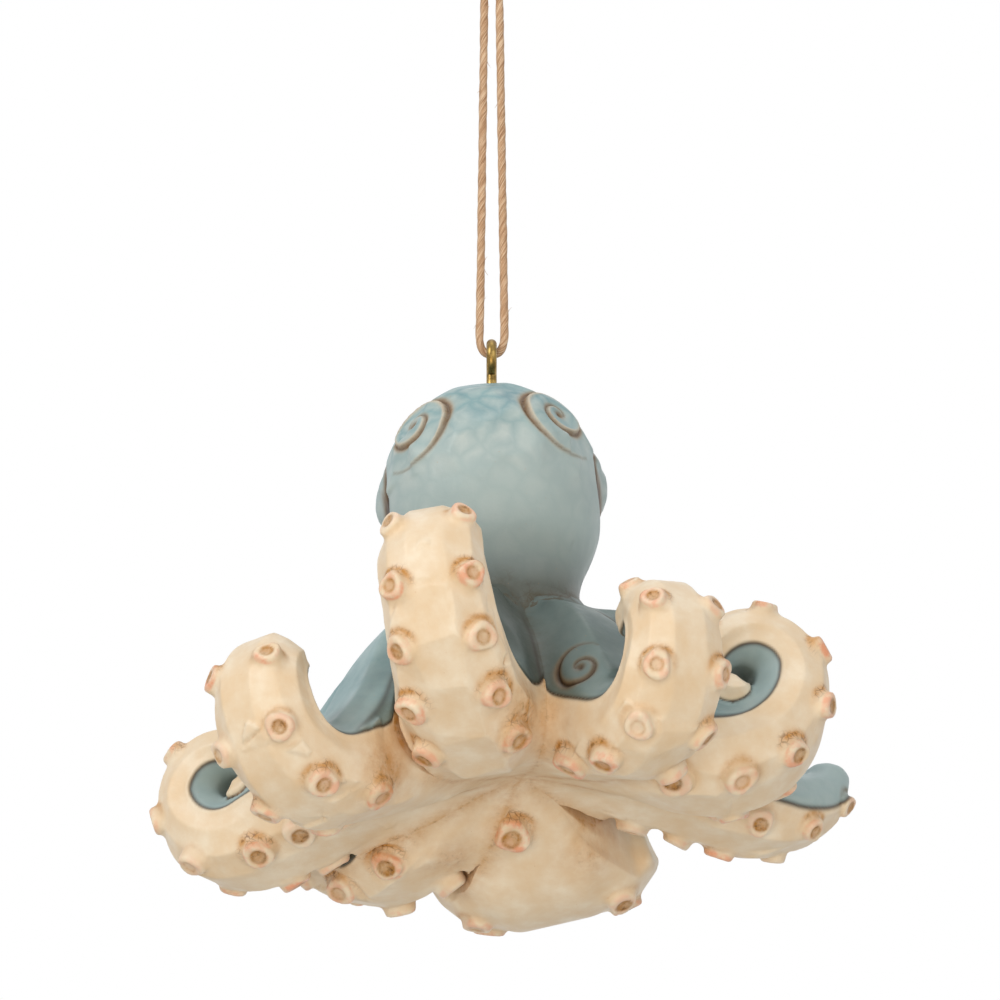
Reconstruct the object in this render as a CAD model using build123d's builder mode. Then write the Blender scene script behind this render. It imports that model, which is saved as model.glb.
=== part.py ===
"""Hanging octopus ornament: a cast head, eight cast arms, a brass eye and a twine loop.

Millimetres, +Z up, -Y is the side that faces the viewer. The origin is the point of the
twine loop that a hook holds, just under the knot, and everything else hangs below it.
"""
from build123d import *
from dataclasses import dataclass
from math import atan2, cos, degrees, pi, radians, sin
import os

os.makedirs("parts", exist_ok=True)

# Twine loop and its knot
TWINE_D = 1.1
TWINE_BEND_R = 1.6          # centre line of the bend that carries the brass eye
TWINE_EASE = 0.1            # half of the flat between the two quarters of that bend
LOOP_DROP = 56.0            # hook point down to the centre of the brass ring
KNOT_GAP = 2.0              # between the strands' centre lines where they enter the knot
KNOT_D = 3.8
KNOT_H = 4.2
KNOT_SHOULDER = 0.9         # rounding of the knot's top and bottom
TAIL_LENGTH = 6.0
TAIL_SPLAY = 16.0           # degrees from upright

# Brass eye, set in the top of the head
WIRE_D = 1.35
RING_HOLE_D = 2.65
SHANK_DEPTH = 6.0           # glued length inside the head
SHANK_FIT = 0.05            # radial room for glue round the shank
TWINE_SLACK = 0.08          # between the twine and the wire it hangs on

# Head casting
HEAD_R = 14.4
HEAD_DROP = 19.8            # ring centre down to the head's centre
CHEEK_R = 11.3              # where the head's rounding turns into the neck
CHEEK_Z = -11.5             # heights below are from the head's centre
NECK_R = 9.6
NECK_Z = -17.0
PLUG_END_R = 2.4
PLUG_END_Z = -36.0
EYE_R = 4.2                 # the two eyes are low domes on the head's sides
EYE_STANDS_OUT = 0.9
EYE_BEARING = 97.0          # degrees round from the viewer's side
HANG_LEAN = 5.5             # the figure hangs this many degrees off plumb

# Arms
GLUE_LINE = 0.1             # gap between castings that are glued together
ROOT_R = 1.2                # where every arm's centre line starts
ROOT_Z = -33.0
TIP_ROUND = 1.4             # length of the blunt end past the last full section
TIP_SHARE = 0.55            # size of that end against the last full section
WEB_R = 26.0                # the arms' roots meet side by side inside this radius
ARM_STEPS = 200             # steps that follow an arm's centre line

# Suckers
SUCKER_D = 4.5
SUCKER_H = 1.35
SUCKER_SINK = 1.0           # foot buried in the arm
SUCKER_FLARE = 0.45         # how much wider the foot is than the rim, each side
DIMPLE_D = 1.7
DIMPLE_DEPTH = 0.7
DIMPLE_FLOOR_D = 0.7
SUCKER_SIDES = 7
SUCKER_FIRST = 0.27         # first and last pair, as shares of the arm's length
SUCKER_LAST = 0.94
SUCKER_PITCH = 5.9          # along the arm, at the widest part
SUCKER_TIP_SHARE = 0.66     # size of the last pair against the first
SUCKER_OUT = 0.64           # how far out on its bevel a sucker sits


@dataclass
class Arm:
    """One arm's centre line: a straight run, a wide bend upwards and a tight curl inwards."""

    bearing: float          # degrees round from the viewer's side, towards +X
    droop: float            # degrees below level at the root
    run: float              # straight length
    bend_r: float
    bend: float             # degrees
    curl_r: float
    curl: float             # degrees
    sway: float = 0.0       # degrees that the arm turns sideways up to its curl
    shoulder: float = 1.0   # height of the root's back against the usual arm
    girth: float = 1.0      # width against the usual arm


ARMS = {
    "front_arm": Arm(-22, 23, 14, 14.5, 108, 6.5, 120, sway=14, shoulder=0.9),
    "front_right_arm": Arm(41, 27, 22, 8.8, 108, 5.6, 115, sway=-14, shoulder=0.84, girth=0.93),
    "right_arm": Arm(74, 24, 20.5, 10.6, 115, 5.6, 166, sway=30, shoulder=0.9),
    "back_right_arm": Arm(116, 13.5, 32, 13.0, 50, 7.0, 35, sway=6, shoulder=0.9),
    "back_arm": Arm(177, 27, 20, 12.0, 118, 6.0, 120, sway=-12, shoulder=0.95, girth=1.8),
    "back_left_arm": Arm(224, 23, 20.5, 11.5, 118, 6.0, 120, shoulder=0.95),
    "left_arm": Arm(265, 14.5, 34, 7.0, 105, 5.4, 150, sway=-29, shoulder=0.9),
    "front_left_arm": Arm(291, 23, 28, 8.8, 108, 5.8, 120, sway=30),
}

# Sections from the root to the tip: share of length, half width, height of the back above
# the centre line and depth of the belly below it
SECTIONS = (
    (0.00, 6.0, 18.5, 6.3),
    (0.13, 7.6, 18.5, 6.3),
    (0.26, 8.6, 15.0, 6.3),
    (0.38, 8.6, 9.4, 6.0),
    (0.50, 7.9, 6.1, 5.6),
    (0.62, 7.5, 5.3, 5.3),
    (0.73, 7.2, 5.0, 5.0),
    (0.83, 6.6, 4.6, 4.6),
    (0.92, 5.5, 3.7, 3.9),
    (1.00, 3.8, 2.7, 2.9),
)
SHOULDER_END = 0.5          # the root's back has come down to the usual height here
# Carved outline of one half section: shares of the half width and of the belly or back
OUTLINE = ((0.36, -1.0), (0.80, -0.62), (1.0, -0.05), (0.90, 0.55), (0.45, 1.0))

wire_r = WIRE_D / 2
twine_r = TWINE_D / 2
web_height = 2 * abs(PLUG_END_Z)        # more than the arms' height below the head's centre
ring_r = RING_HOLE_D / 2 + wire_r
ring_centre = Vector(0, 0, -LOOP_DROP)
head_centre = ring_centre - Vector(0, 0, HEAD_DROP)
lean = radians(HANG_LEAN)
hub = Plane(head_centre, x_dir=(cos(lean), 0, sin(lean)), z_dir=(-sin(lean), 0, cos(lean)))


def head_profile(room):
    """Half profile of the head, neck and plug on the hub's XZ plane, grown by room."""
    with BuildSketch(Plane(head_centre, x_dir=hub.x_dir, z_dir=-hub.y_dir)) as profile:
        with BuildLine():
            crown = CenterArc((0, 0), HEAD_R + room, 0, 90)
            cheek = TangentArc(crown @ 0, (CHEEK_R + room, CHEEK_Z), tangent=(0, -1))
            neck = TangentArc(cheek @ 1, (NECK_R + room, NECK_Z), tangent=cheek % 1)
            Polyline(
                neck @ 1,
                (PLUG_END_R + room, PLUG_END_Z - room),
                (0, PLUG_END_Z - room),
                crown @ 1,
            )
        make_face()
    return profile


def arm_planes(arm):
    """Planes along an arm's centre line, X sideways and Y towards its back, and its length."""
    bend_end = arm.run + arm.bend_r * radians(arm.bend)
    length = bend_end + arm.curl_r * radians(arm.curl)
    step = length / ARM_STEPS
    pitch, heading = -radians(arm.droop), radians(arm.bearing)
    outward, _ = directions(heading)
    point = head_centre + hub.z_dir * ROOT_Z + outward * ROOT_R
    planes = []
    for number in range(ARM_STEPS + 1):
        outward, sideways = directions(heading)
        planes.append(Plane(point, x_dir=sideways, z_dir=outward * cos(pitch) + hub.z_dir * sin(pitch)))
        along = (number + 0.5) * step
        if along < arm.run:
            turn = 0.0
        else:
            turn = step / (arm.bend_r if along < bend_end else arm.curl_r)
        swing = radians(arm.sway) * step / bend_end if along < bend_end else 0.0
        outward, _ = directions(heading + swing / 2)
        middle = pitch + turn / 2
        point = point + (outward * cos(middle) + hub.z_dir * sin(middle)) * step
        pitch += turn
        heading += swing
    return planes, length


def directions(heading):
    """Outward and sideways at a bearing round the hub."""
    return (hub.x_dir * sin(heading) - hub.y_dir * cos(heading),
            hub.x_dir * cos(heading) + hub.y_dir * sin(heading))


def sizes_at(share):
    """Half width, back and belly at a share of the arm's length."""
    for low, high in zip(SECTIONS, SECTIONS[1:]):
        if share <= high[0]:
            mix = (share - low[0]) / (high[0] - low[0])
            return [a + (b - a) * mix for a, b in zip(low[1:], high[1:])]
    return list(SECTIONS[-1][1:])


def section_points(arm, share, scale=1.0):
    """Corners of the carved section, the right half from belly to back and then the left."""
    half, back, belly = sizes_at(share)
    if share < SHOULDER_END:
        back *= arm.shoulder + (1 - arm.shoulder) * share / SHOULDER_END
    right = [
        (x * half * arm.girth * scale, y * (back if y > 0 else belly) * scale) for x, y in OUTLINE
    ]
    return right + [(-x, y) for x, y in reversed(right)]


def sucker_places(arm, planes, length):
    """Planes on the two lower bevels of an arm, with each sucker's size."""
    first, last = SUCKER_FIRST, SUCKER_LAST
    pairs = round((last - first) * length / SUCKER_PITCH)
    places = []
    for pair in range(pairs + 1):
        share = first + (last - first) * pair / pairs
        size = 1 + (SUCKER_TIP_SHARE - 1) * pair / pairs
        across = planes[round(share * ARM_STEPS)]
        points = section_points(arm, share)
        for inner, outer in ((points[0], points[1]), (points[-1], points[-2])):
            middle = Vector(inner) + (Vector(outer) - Vector(inner)) * SUCKER_OUT
            side = 1 if outer[0] > 0 else -1
            slope = Vector(outer[0] - inner[0], outer[1] - inner[1])
            normal = Vector(slope.Y * side, -abs(slope.X)).normalized()
            facing = across.x_dir * normal.X + across.y_dir * normal.Y
            places.append((Plane(across.from_local_coords(middle), x_dir=across.z_dir, z_dir=facing), size))
    return places


def arm_casting(arm, before, after):
    """One arm with its suckers, held between its neighbours and seated on the plug."""
    planes, length = arm_planes(arm)
    suckers = [place.location * scale(sucker.part, by=size, mode=Mode.PRIVATE)
               for place, size in sucker_places(arm, planes, length)]
    with BuildPart() as casting:
        for share, *_ in SECTIONS:
            with BuildSketch(planes[round(share * ARM_STEPS)]):
                Polygon(*section_points(arm, share), align=None)
        with BuildSketch(planes[-1].offset(TIP_ROUND)):
            Polygon(*section_points(arm, 1.0, TIP_SHARE), align=None)
        loft(ruled=True)
        add(suckers)
        add(other_sectors(before, after).part, mode=Mode.SUBTRACT)
        add(seat.part, mode=Mode.SUBTRACT)
    return casting


def other_sectors(before, after):
    """The round hub without one arm's wedge, half a glue line past each of its sides."""
    half = radians((after - before) / 2)
    middle = radians((after + before) / 2)
    tip = GLUE_LINE / 2 / sin(half)
    corners = [(tip * sin(middle), -tip * cos(middle))]
    for edge in (middle - half, middle + half):
        corners.append((corners[0][0] + 2 * WEB_R * sin(edge), corners[0][1] - 2 * WEB_R * cos(edge)))
    with BuildPart() as rest:
        with BuildSketch(hub.offset(-web_height)):
            Circle(WEB_R)
            Polygon(*corners, align=None, mode=Mode.SUBTRACT)
        extrude(amount=web_height)
    return rest


# The head, its plug and the two eye domes
head_axis = Axis(head_centre, hub.z_dir)
with BuildPart() as head:
    add(head_profile(0).sketch)
    revolve(axis=head_axis)
    for side in (-1, 1):
        bearing = radians(side * EYE_BEARING)
        reach = HEAD_R + EYE_STANDS_OUT - EYE_R
        with Locations(hub.from_local_coords((reach * sin(bearing), -reach * cos(bearing), 0))):
            Sphere(EYE_R)
    with BuildSketch(Plane(head_centre + Vector(0, 0, HEAD_R - SHANK_DEPTH))):
        Circle(wire_r + SHANK_FIT)
    extrude(amount=SHANK_DEPTH + HEAD_R, mode=Mode.SUBTRACT)
head.part.label = "head"
export_step(head.part, "parts/head.step")

with BuildPart() as seat:
    add(head_profile(GLUE_LINE).sketch)
    revolve(axis=head_axis)

# One sucker, standing on XY with its foot below
with BuildPart() as sucker:
    with BuildSketch(Plane.XY.offset(-SUCKER_SINK)):
        RegularPolygon(SUCKER_D / 2 + SUCKER_FLARE, SUCKER_SIDES)
    with BuildSketch(Plane.XY.offset(SUCKER_H)):
        RegularPolygon(SUCKER_D / 2, SUCKER_SIDES)
    loft(ruled=True)
    with BuildSketch(Plane.XY.offset(SUCKER_H - DIMPLE_DEPTH)):
        RegularPolygon(DIMPLE_FLOOR_D / 2, SUCKER_SIDES)
    with BuildSketch(Plane.XY.offset(SUCKER_H)):
        RegularPolygon(DIMPLE_D / 2, SUCKER_SIDES)
    loft(ruled=True, mode=Mode.SUBTRACT)

# The eight arms
bearings = [arm.bearing for arm in ARMS.values()]
for number, (name, arm) in enumerate(ARMS.items()):
    before = bearings[number - 1] - (360 if number == 0 else 0)
    after = bearings[(number + 1) % len(bearings)] + (360 if number == len(bearings) - 1 else 0)
    casting = arm_casting(arm, (arm.bearing + before) / 2, (arm.bearing + after) / 2)
    casting.part.label = name
    export_step(casting.part, f"parts/{name}.step")

# The brass eye
with BuildPart() as brass_eye:
    with BuildSketch(Plane(ring_centre + Vector(0, 0, ring_r), x_dir=(1, 0, 0), z_dir=(0, 1, 0))):
        Circle(wire_r)
    revolve(axis=Axis(ring_centre, (1, 0, 0)))
    with BuildSketch(Plane(head_centre + Vector(0, 0, HEAD_R - SHANK_DEPTH))):
        Circle(wire_r)
    extrude(amount=HEAD_DROP - HEAD_R + SHANK_DEPTH - ring_r)
brass_eye.part.label = "brass_eye"
export_step(brass_eye.part, "parts/brass_eye.step")

# The twine: up from the knot point on one side, round under the ring's top wire, back up
bend_low = ring_centre.Z + ring_r - wire_r - TWINE_SLACK - twine_r
strand_out = TWINE_BEND_R + TWINE_EASE
route_points = [(-KNOT_GAP / 2, 0), (-strand_out, bend_low), (strand_out, bend_low), (KNOT_GAP / 2, 0)]
with BuildLine(Plane.XZ) as route:
    FilletPolyline(*route_points, radius=TWINE_BEND_R)
strand = route.wire()
with BuildPart() as twine_loop:
    with BuildSketch(Plane(strand @ 0, z_dir=strand % 0)):
        Circle(twine_r)
    sweep(path=strand)
twine_loop.part.label = "twine_loop"
export_step(twine_loop.part, "parts/twine_loop.step")
print("twine length", round(strand.length, 2), "bend radius", TWINE_BEND_R,
      "tube volume", round(twine_loop.part.volume, 2),
      "section x length", round(pi * twine_r**2 * strand.length, 2))

# The knot with its two cut ends
with BuildPart() as twine_knot:
    with BuildSketch(Plane.XZ):
        with BuildLine():
            Polyline((0, 0), (KNOT_D / 2 - KNOT_SHOULDER, 0), (KNOT_D / 2, KNOT_SHOULDER),
                     (KNOT_D / 2, KNOT_H - KNOT_SHOULDER), (KNOT_D / 2 - KNOT_SHOULDER, KNOT_H),
                     (0, KNOT_H), close=True)
        make_face()
    revolve(axis=Axis.Z)
    for side in (-1, 1):
        splay = radians(side * TAIL_SPLAY)
        foot = Vector(side * KNOT_GAP / 2, 0, KNOT_H - KNOT_SHOULDER)
        with BuildSketch(Plane(foot, z_dir=(sin(splay), 0, cos(splay)))):
            Circle(twine_r)
        extrude(amount=TAIL_LENGTH)
twine_knot.part.label = "twine_knot"
export_step(twine_knot.part, "parts/twine_knot.step")
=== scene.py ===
# %% [markdown]
# # A hanging octopus ornament
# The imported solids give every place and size. This lesson turns them into a hand-carved,
# hand-painted casting: each solid gets an even skin, knife facets, round sucker cups and paint
# that follows the arm's own line. The twine is spun from its route.

# %% Load the frame
import math

import bpy
import numpy as np
from mathutils import Matrix, Vector, kdtree
from mathutils.bvhtree import BVHTree


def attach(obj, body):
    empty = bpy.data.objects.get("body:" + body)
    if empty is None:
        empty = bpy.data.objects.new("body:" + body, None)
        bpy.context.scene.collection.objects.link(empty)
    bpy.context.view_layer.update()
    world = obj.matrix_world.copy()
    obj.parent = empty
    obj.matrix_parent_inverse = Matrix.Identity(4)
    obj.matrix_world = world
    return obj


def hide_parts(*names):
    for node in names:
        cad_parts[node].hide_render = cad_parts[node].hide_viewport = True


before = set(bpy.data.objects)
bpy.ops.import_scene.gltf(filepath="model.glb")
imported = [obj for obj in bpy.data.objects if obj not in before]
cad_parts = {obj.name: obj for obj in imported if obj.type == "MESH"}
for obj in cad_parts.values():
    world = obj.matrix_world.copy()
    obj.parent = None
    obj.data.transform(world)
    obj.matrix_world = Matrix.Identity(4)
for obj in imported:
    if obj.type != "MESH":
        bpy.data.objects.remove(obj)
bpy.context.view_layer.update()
MM = 0.001
dice = np.random.default_rng(7)

# %% [markdown]
# ## Sizes
# Millimetres, in the row frame: the hook point is the origin and the figure hangs below it.
# The hub is the head's centre, turned by the few degrees that the figure hangs off plumb.

# %% Sizes shared with the solids
RING_Z = -56.0
RING_R = 2.0
WIRE_R = 0.675
TWINE_R = 0.55
HEAD_R = 14.4
HEAD_CENTRE = np.array([0.0, 0.0, -75.8])
LEAN = math.radians(5.5)
HUB_X = np.array([math.cos(LEAN), 0.0, math.sin(LEAN)])
HUB_Y = np.array([0.0, 1.0, 0.0])
HUB_Z = np.array([-math.sin(LEAN), 0.0, math.cos(LEAN)])
ROOT_R, ROOT_Z = 1.2, -33.0
ARM_STEPS = 200
SHOULDER_END = 0.5

# bearing, droop, run, bend radius, bend, curl radius, curl, sway, shoulder, girth
ARMS = {
    "front_arm": (-22, 23, 14, 14.5, 108, 6.5, 120, 14, 0.9, 1.0),
    "front_right_arm": (41, 27, 22, 8.8, 108, 5.6, 115, -14, 0.84, 0.93),
    "right_arm": (74, 24, 20.5, 10.6, 115, 5.6, 166, 30, 0.9, 1.0),
    "back_right_arm": (116, 13.5, 32, 13.0, 50, 7.0, 35, 6, 0.9, 1.0),
    "back_arm": (177, 27, 20, 12.0, 118, 6.0, 120, -12, 0.95, 1.8),
    "back_left_arm": (224, 23, 20.5, 11.5, 118, 6.0, 120, 0, 0.95, 1.0),
    "left_arm": (265, 14.5, 34, 7.0, 105, 5.4, 150, -29, 0.9, 1.0),
    "front_left_arm": (291, 23, 28, 8.8, 108, 5.8, 120, 30, 1.0, 1.0),
}
# share of length, half width, back, belly
SECTIONS = np.array([
    (0.00, 6.0, 18.5, 6.3), (0.13, 7.6, 18.5, 6.3), (0.26, 8.6, 15.0, 6.3),
    (0.38, 8.6, 9.4, 6.0), (0.50, 7.9, 6.1, 5.6), (0.62, 7.5, 5.3, 5.3),
    (0.73, 7.2, 5.0, 5.0), (0.83, 6.6, 4.6, 4.6), (0.92, 5.5, 3.7, 3.9), (1.00, 3.8, 2.7, 2.9),
])
OUTLINE = ((0.36, -1.0), (0.80, -0.62), (1.0, -0.05), (0.90, 0.55), (0.45, 1.0))
BEVEL_INNER, BEVEL_OUTER = OUTLINE[0], OUTLINE[1]
TIP_ROUND = 1.4
# tips that curl on past their solids: how far, and how tightly
TIP_CURLS = {"right_arm": (8.0, 2.8), "left_arm": (7.8, 2.7)}
TIP_CUT = {"front_left_arm": 0.9}    # a tip that ends sooner than its solid
WEB_R = 26.0            # within this of the axis, each arm keeps to its own sector
SUCKER_FIRST, SUCKER_LAST, SUCKER_PITCH, SUCKER_TIP_SHARE = 0.27, 0.94, 5.9, 0.66
SUCKER_OUT = 0.64        # how far out on the bevel a sucker sits

# %% [markdown]
# ## Camera
# The photograph looks up at the figure from a little below, with a long lens. The view is set
# first, because everything after it is compared with the photograph.

# %% Camera, floor and light
VIEW_DOWN = math.radians(-27)
VIEW_DISTANCE = 800.0
VIEW_WIDTH = 128.8
HEAD_PIXEL = (491.5, 495.0)     # where the photograph shows the head's centre
MID_PIXEL = 500
PHOTO_PIXELS = 1000
to_camera = np.array([0.0, -math.cos(VIEW_DOWN), math.sin(VIEW_DOWN)])
view_up = np.array([0.0, math.sin(VIEW_DOWN), math.cos(VIEW_DOWN)])
pixel = VIEW_WIDTH / PHOTO_PIXELS
target = (HEAD_CENTRE + np.array([(MID_PIXEL - HEAD_PIXEL[0]) * pixel, 0, 0])
          - view_up * (MID_PIXEL - HEAD_PIXEL[1]) * pixel)
camera_data = bpy.data.cameras.new("camera")
camera_data.sensor_width = 36
camera_data.lens = camera_data.sensor_width * VIEW_DISTANCE / VIEW_WIDTH
camera_data.clip_start = 0.02
camera = bpy.data.objects.new("camera", camera_data)
bpy.context.collection.objects.link(camera)
camera.location = Vector(target + to_camera * VIEW_DISTANCE) * MM
camera.rotation_euler = Vector(-to_camera).to_track_quat("-Z", "Y").to_euler()
bpy.context.scene.camera = camera

bpy.ops.mesh.primitive_plane_add(size=4, location=(0, 0, -0.62))
floor = bpy.context.object
floor.name = "floor"


def srgb(r, g, b):
    """A colour as seen on screen, as the shader wants it."""
    return tuple((c / 255 / 12.92) if c / 255 <= 0.04045 else ((c / 255 + 0.055) / 1.055) ** 2.4
                 for c in (r, g, b)) + (1.0,)


floor_paint = bpy.data.materials.new("pale_floor")
floor_paint.use_nodes = True
floor_paint.node_tree.nodes["Principled BSDF"].inputs["Base Color"].default_value = srgb(240, 240, 238)
floor_paint.node_tree.nodes["Principled BSDF"].inputs["Roughness"].default_value = 0.9
floor.data.materials.append(floor_paint)


def area_light(name, place, size, watts, colour=(1, 1, 1)):
    """A round lamp that points at the head."""
    light = bpy.data.lights.new(name, "AREA")
    light.shape = "DISK"
    light.size = size
    light.energy = watts
    light.color = colour
    lamp = bpy.data.objects.new(name, light)
    bpy.context.collection.objects.link(lamp)
    lamp.location = place
    aim = Vector(HEAD_CENTRE * MM) - lamp.location
    lamp.rotation_euler = aim.to_track_quat("-Z", "Y").to_euler()


area_light("key", (-0.72, -0.66, 0.46), 0.6, 4.4)
area_light("fill", (0.6, -0.7, 0.05), 0.9, 1.7)
area_light("low", (-0.1, -0.7, -0.5), 0.8, 3.3, (1.0, 0.83, 0.62))
area_light("top", (0.05, -0.1, 0.8), 0.6, 1.1)

world = bpy.data.worlds.new("white_room")
bpy.context.scene.world = world
world.use_nodes = True
room = world.node_tree
room.nodes.clear()
ray = room.nodes.new("ShaderNodeLightPath")
seen = room.nodes.new("ShaderNodeMath")
seen.operation = "MAXIMUM"
room.links.new(ray.outputs["Is Camera Ray"], seen.inputs[0])
room.links.new(ray.outputs["Is Glossy Ray"], seen.inputs[1])
paper = room.nodes.new("ShaderNodeBackground")
paper.inputs["Strength"].default_value = 1.0
ambient = room.nodes.new("ShaderNodeBackground")
ambient.inputs["Color"].default_value = (1.0, 0.96, 0.9, 1)
ambient.inputs["Strength"].default_value = 0.36
paper.inputs["Color"].default_value = (1, 1, 1, 1)
mix = room.nodes.new("ShaderNodeMixShader")
room.links.new(seen.outputs[0], mix.inputs["Fac"])
room.links.new(ambient.outputs[0], mix.inputs[1])
room.links.new(paper.outputs[0], mix.inputs[2])
out = room.nodes.new("ShaderNodeOutputWorld")
room.links.new(mix.outputs[0], out.inputs["Surface"])
bpy.context.scene.view_settings.view_transform = "Standard"
print("camera", round(camera_data.lens), "mm lens,", len(bpy.data.lights), "lamps")

# %% [markdown]
# ## Working on a skin
# The head starts as a welded copy of its solid and each arm as a tube along its line; both are rebuilt as
# an even skin of small faces.
# The helpers read and write its points in millimetres.


# %% Helpers for skins
CUTS_NEAR = 22          # flat cuts looked at for each point of a skin


def only(piece):
    """Select one object and make it the active one."""
    bpy.ops.object.select_all(action="DESELECT")
    piece.select_set(True)
    bpy.context.view_layer.objects.active = piece


def even_skin(piece, voxel):
    """Fuse a piece's closed shells into one skin of small even faces."""
    only(piece)
    remesh = piece.modifiers.new("even_skin", "REMESH")
    remesh.mode = "VOXEL"
    remesh.voxel_size = voxel * MM
    bpy.ops.object.modifier_apply(modifier="even_skin")
    bpy.ops.object.shade_smooth()
    return piece


def copied_solid(node, name):
    """A welded copy of a solid."""
    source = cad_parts[node]
    mesh = source.data.copy()
    mesh.transform(source.matrix_world)
    mesh.materials.clear()
    piece = bpy.data.objects.new(name, mesh)
    bpy.context.collection.objects.link(piece)
    only(piece)
    bpy.ops.object.mode_set(mode="EDIT")
    bpy.ops.mesh.select_all(action="SELECT")
    bpy.ops.mesh.remove_doubles(threshold=0.00001)
    bpy.ops.object.mode_set(mode="OBJECT")
    return piece


def points_of(skin):
    """A skin's points in millimetres, one row each."""
    flat = np.empty(len(skin.data.vertices) * 3, dtype=np.float64)
    skin.data.vertices.foreach_get("co", flat)
    return flat.reshape(-1, 3) / MM


def set_points(skin, points):
    skin.data.vertices.foreach_set("co", (points * MM).ravel())
    skin.data.update()


def normals_of(skin):
    flat = np.empty(len(skin.data.vertices) * 3, dtype=np.float32)
    skin.data.vertex_normals.foreach_get("vector", flat)
    return flat.reshape(-1, 3).astype(np.float64)


def edges_of(skin):
    flat = np.empty(len(skin.data.edges) * 2, dtype=np.int32)
    skin.data.edges.foreach_get("vertices", flat)
    return flat.reshape(-1, 2)


def relaxed(values, edges, times, weight=0.5):
    """Each value moved towards the mean of its neighbours, several times."""
    values = values.copy()
    count = len(values)
    degree = np.bincount(edges.ravel(), minlength=count)[:, None]
    flat = values.reshape(count, -1)
    for _ in range(times):
        total = np.stack([
            np.bincount(edges[:, 0], flat[edges[:, 1], k], count)
            + np.bincount(edges[:, 1], flat[edges[:, 0], k], count) for k in range(flat.shape[1])], 1)
        flat = flat + weight * (total / np.maximum(degree, 1) - flat)
    return flat.reshape(values.shape)


def ease(low, high, value):
    """0 below low, 1 above high and smooth between."""
    t = np.clip((value - low) / (high - low), 0, 1)
    return t * t * (3 - 2 * t)


def paint(skin, name, values):
    """Keep a value from 0 to 1 on every point, for the shader to read."""
    layer = skin.data.attributes.new(name, "FLOAT", "POINT")
    layer.data.foreach_set("value", np.clip(values, 0, 1).astype(np.float32))


def bell(value, width):
    """1 at 0, falling smoothly to nothing a few widths away."""
    return np.exp(-(value / width) ** 2)


def most(*values):
    """The largest of several values, point by point."""
    return np.maximum.reduce(np.broadcast_arrays(*values))


def from_place(points, place):
    return np.linalg.norm(points - np.array(place), axis=1)


def tree_of(points):
    tree = kdtree.KDTree(len(points))
    for number, point in enumerate(points):
        tree.insert(point, number)
    tree.balance()
    return tree


def whittle(points, normals, spacing, depth, keep):
    """Knife facets: each point drops to the lowest of the flat cuts near it."""
    full = tree_of(points)
    taken = np.zeros(len(points), dtype=bool)
    picked = []
    for number in dice.permutation(len(points)):
        if not taken[number]:
            reach = spacing * dice.uniform(0.75, 1.35)
            taken[[item[1] for item in full.find_range(points[number], reach)]] = True
            picked.append(number)
    cuts = tree_of(points[picked])
    found = [cuts.find_n(point, CUTS_NEAR) for point in points]
    near = np.array([[item[1] for item in items] for items in found])
    far = np.array([[item[2] for item in items] for items in found])
    centres, facing = points[picked], normals[picked]
    lean = np.einsum("ijk,ik->ij", facing[near], normals)
    gap = np.einsum("ijk,ijk->ij", centres[near] - points[:, None], facing[near])
    fade = 4 * np.maximum(0, 0.85 - lean) + 0.5 * np.maximum(0, far - 1.5 * spacing)
    cut = (gap / np.maximum(lean, 0.3) + fade).min(1)
    drop = np.clip(cut, 0, 2 * depth) - depth
    return points + normals * (drop * (1 - keep))[:, None]


def hollows(points, normals, edges, times):
    """How far a point lies below the smoothed surface round it: above 0 in creases."""
    return np.einsum("ij,ij->i", relaxed(points, edges, times) - points, normals)


# %% [markdown]
# ## The arms' lines
# Each arm follows a straight run, a wide bend and a tight curl. Walking that line again tells
# every point of the skin how far along the arm it is and whether it lies on the back or belly.


# %% Follow the arms
def directions(heading):
    return (HUB_X * math.sin(heading) - HUB_Y * math.cos(heading),
            HUB_X * math.cos(heading) + HUB_Y * math.sin(heading))


def arm_line(arm):
    """Points, sideways and back directions along an arm, and its length."""
    bearing, droop, run, bend_r, bend, curl_r, curl, sway, *_ = arm
    bend_end = run + bend_r * math.radians(bend)
    length = bend_end + curl_r * math.radians(curl)
    step = length / ARM_STEPS
    pitch, heading = -math.radians(droop), math.radians(bearing)
    point = HEAD_CENTRE + HUB_Z * ROOT_Z + directions(heading)[0] * ROOT_R
    places, sides, backs = [], [], []
    for number in range(ARM_STEPS + 1):
        outward, sideways = directions(heading)
        places.append(point)
        sides.append(sideways)
        backs.append(HUB_Z * math.cos(pitch) - outward * math.sin(pitch))
        along = (number + 0.5) * step
        turn = 0.0 if along < run else step / (bend_r if along < bend_end else curl_r)
        swing = math.radians(sway) * step / bend_end if along < bend_end else 0.0
        middle = pitch + turn / 2
        outward = directions(heading + swing / 2)[0]
        point = point + (outward * math.cos(middle) + HUB_Z * math.sin(middle)) * step
        pitch += turn
        heading += swing
    return np.array(places), np.array(sides), np.array(backs), length


def sizes_at(arm, share):
    """Half width, back and belly at shares of an arm's length."""
    half, back, belly = (np.interp(share, SECTIONS[:, 0], SECTIONS[:, k]) for k in (1, 2, 3))
    shoulder, girth = arm[8], arm[9]
    lift = np.where(share < SHOULDER_END, shoulder + (1 - shoulder) * share / SHOULDER_END, 1.0)
    return half * girth, back * lift, belly


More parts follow.
